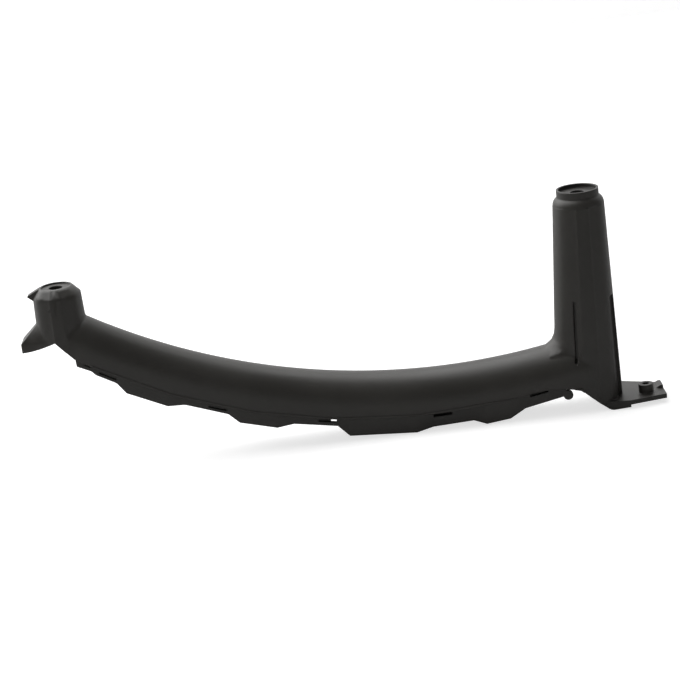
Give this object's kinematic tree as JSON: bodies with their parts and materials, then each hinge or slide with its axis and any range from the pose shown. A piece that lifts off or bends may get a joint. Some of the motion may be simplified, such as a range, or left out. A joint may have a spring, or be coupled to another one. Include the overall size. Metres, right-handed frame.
{
  "type": "door pull handle",
  "caption": "Bowed car door pull grip moulded in one piece with a tall and a short hollow screw post, a flared foot plate, and slotted clip walls under the grip for a trim cover.",
  "frame": {"origin": "centre of the tall post's screw hole, on the face of its seat inside the rim", "axes": "+Z along the posts towards the door, +X from the short post to the tall post, front of the handle towards -Y"},
  "size_m": [0.4242, 0.0429, 0.1506],
  "materials": {
    "moulded_plastic": "fine satin grain, as moulded"
  },
  "bodies": {
    "root": {"pull_handle": "moulded_plastic"}
  },
  "joints": []
}
